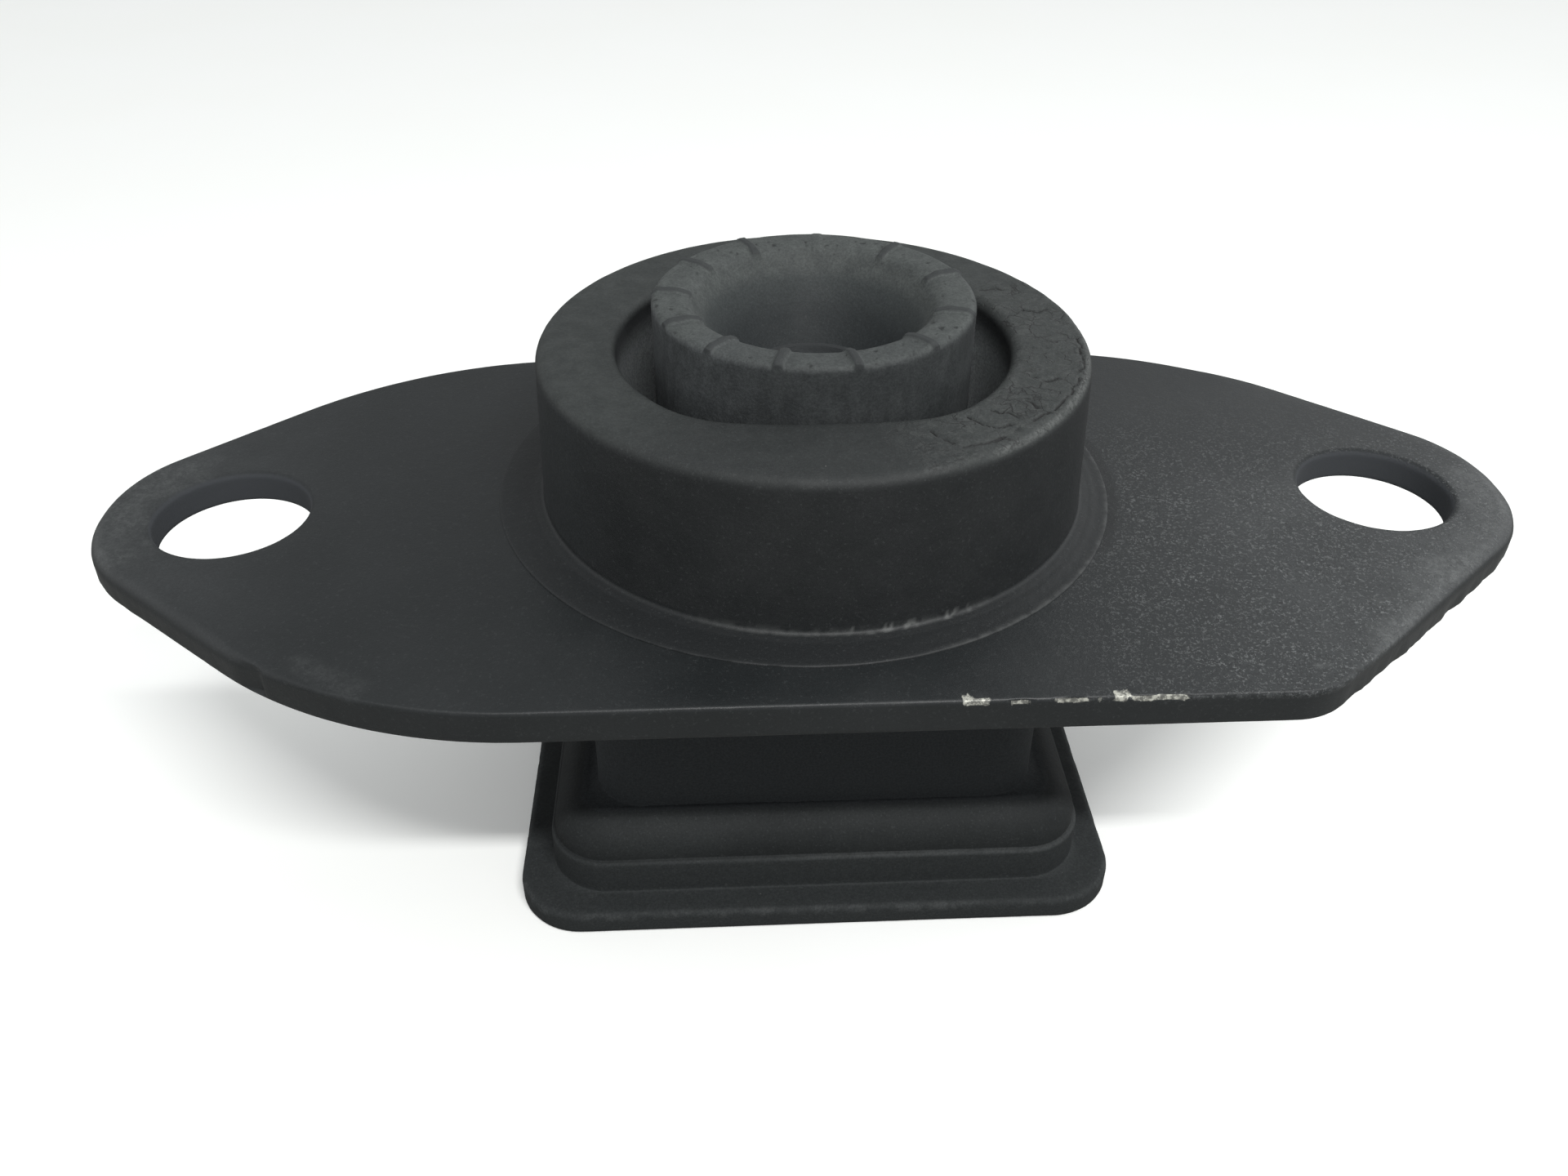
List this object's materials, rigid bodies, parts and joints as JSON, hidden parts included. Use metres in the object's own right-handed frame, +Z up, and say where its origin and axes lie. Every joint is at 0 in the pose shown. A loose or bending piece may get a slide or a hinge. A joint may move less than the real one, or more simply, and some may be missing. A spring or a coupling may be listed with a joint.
{
  "type": "engine mount",
  "caption": "Rubber-sprung engine mount: bolt-on steel plate with a pressed flanged housing below, and a rubber stop ring round a ribbed hub with a funnel bore above.",
  "frame": {"origin": "under the middle of the plate's outline, on the surface that the housing's flange stands on", "axes": "+X along the plate from bolt hole to bolt hole, +Y to the back, +Z up along the bore"},
  "size_m": [0.1758, 0.0788, 0.0736],
  "materials": {
    "coated_plate": "thin black coating on stamped steel, satin, scuffed at the edges",
    "coated_housing": "thin black coating on drawn steel, satin",
    "bare_sleeve": "plain steel, hidden in the rubber",
    "ring_rubber": "matt black rubber, weathered, fine cracks on top",
    "core_metal": "cast, dull",
    "spring_rubber": "matt black rubber, greyed on the hub's top"
  },
  "bodies": {
    "root": {"mounting_plate": "coated_plate", "lower_housing": "coated_housing", "stop_ring_sleeve": "bare_sleeve", "stop_ring_rubber": "ring_rubber", "inner_core": "core_metal", "main_spring_rubber": "spring_rubber"}
  },
  "joints": []
}
